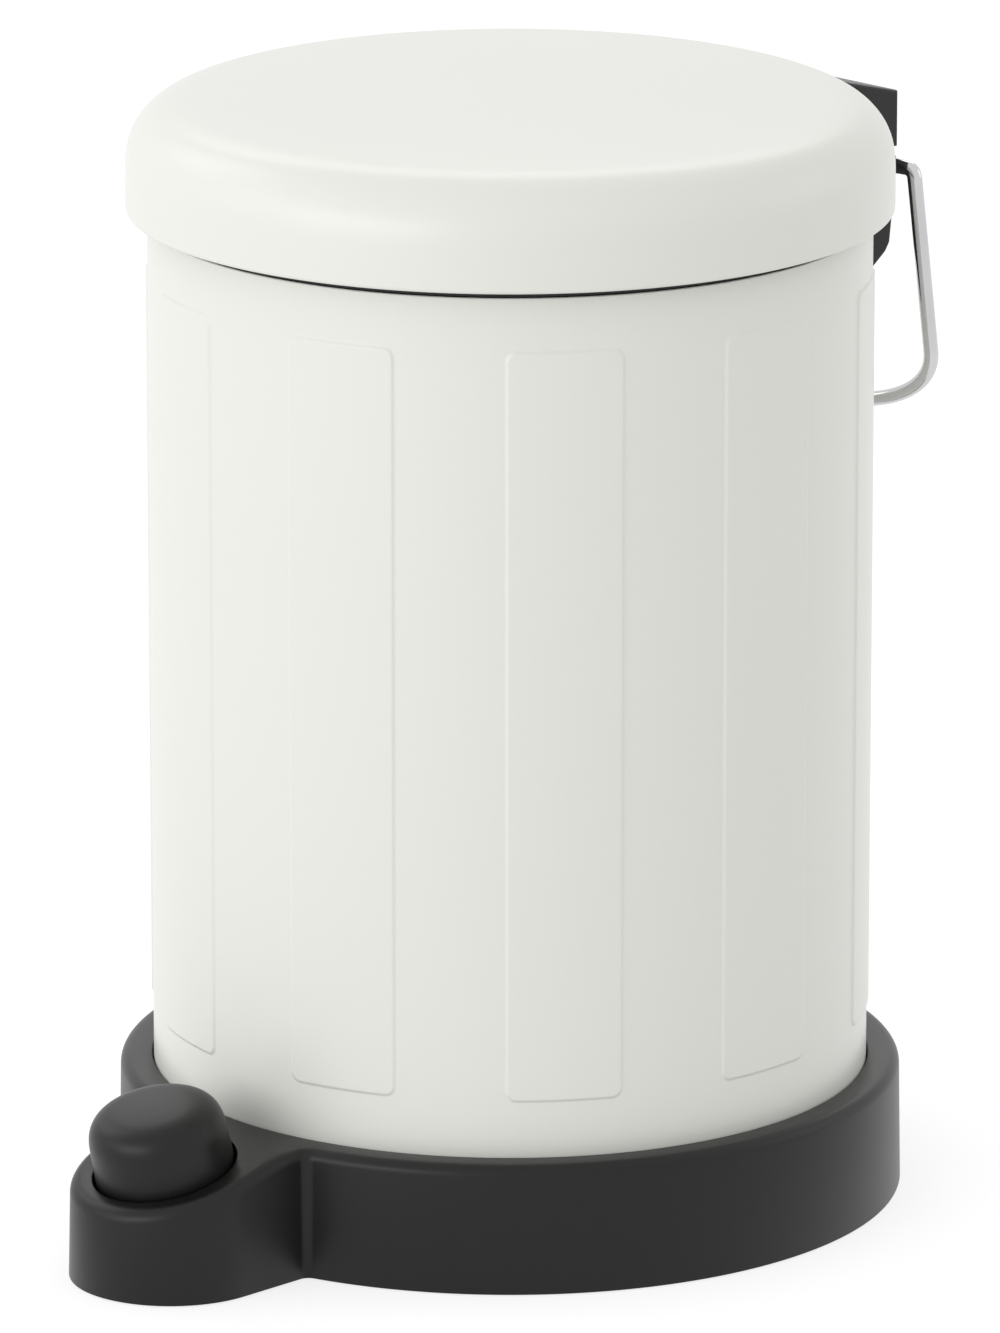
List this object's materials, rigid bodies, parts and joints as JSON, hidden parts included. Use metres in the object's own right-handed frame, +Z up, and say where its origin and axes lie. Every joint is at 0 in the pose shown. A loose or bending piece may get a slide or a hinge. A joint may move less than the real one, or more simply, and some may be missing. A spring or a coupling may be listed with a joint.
{
  "type": "pedal bin",
  "caption": "Round painted-steel pedal bin: domed hinged lid, dark base with a round pedal button, lever and push rod inside, lift-out bucket and a wire bail.",
  "frame": {"origin": "on the bin's vertical axis, in the flat underside that rests on the floor", "axes": "+Z up; the pedal lobe points along -Y and the lid hinge is at +Y; X runs along the hinge pin, so the plane X = 0 is the bin's mirror plane"},
  "size_m": [0.205, 0.266, 0.291],
  "materials": {
    "painted_steel": "white powder coat, satin gloss",
    "dark_plastic": "moulded dark grey, fine satin grain",
    "bucket_plastic": "moulded near-black, matte",
    "chrome_wire": "bright chrome plate",
    "zinc_steel": "bright zinc plate"
  },
  "bodies": {
    "bin": {"base_housing": "dark_plastic", "base_plate": "dark_plastic", "base_screw_1": "zinc_steel", "base_screw_2": "zinc_steel", "base_screw_3": "zinc_steel", "base_screw_4": "zinc_steel", "lever_pin": "zinc_steel", "lever_clip_left": "zinc_steel", "lever_clip_right": "zinc_steel", "rod_guide_lower": "dark_plastic", "rod_guide_upper": "dark_plastic", "body_shell": "painted_steel", "collar_ring": "dark_plastic", "inner_bucket": "bucket_plastic", "bucket_handle": "zinc_steel", "body_hinge_bracket": "dark_plastic", "bracket_screw_left": "zinc_steel", "bracket_screw_right": "zinc_steel", "hinge_pin": "zinc_steel"},
    "lid": {"lid_shell": "painted_steel", "lid_hinge_bracket": "dark_plastic", "lid_screw_left": "zinc_steel", "lid_screw_right": "zinc_steel"},
    "button": {"pedal_button": "dark_plastic"},
    "lever": {"pedal_lever": "zinc_steel"},
    "rod": {"push_rod": "zinc_steel", "rod_tip": "dark_plastic"},
    "bail": {"bail_handle": "chrome_wire"}
  },
  "joints": [
    {"name": "lid_hinge", "type": "hinge", "parent": "bin", "child": "lid", "pos_m": [0, 0.1147, 0.257], "axis": [-1, 0, 0], "range_deg": [0, 75]},
    {"name": "button_press", "type": "slide", "parent": "bin", "child": "button", "axis": [0, 0.247, -0.969], "range_m": [0, 0.0126]},
    {"name": "lever_pivot", "type": "hinge", "parent": "bin", "child": "lever", "pos_m": [0, -0.0303, 0.012], "axis": [1, 0, 0], "range_deg": [0, 8.2]},
    {"name": "rod_slide", "type": "slide", "parent": "bin", "child": "rod", "axis": [0, 0, 1], "range_m": [0, 0.017]},
    {"name": "bail_swing", "type": "hinge", "parent": "bin", "child": "bail", "pos_m": [0, 0.1147, 0.257], "axis": [-1, 0, 0], "range_deg": [-145, 15]}
  ],
  "couplings": [
    {"joint": "button_press", "follows": "lid_hinge", "m_per_rad": 0.0096},
    {"joint": "lever_pivot", "follows": "lid_hinge", "ratio": 0.108},
    {"joint": "rod_slide", "follows": "lid_hinge", "m_per_rad": 0.01291}
  ]
}
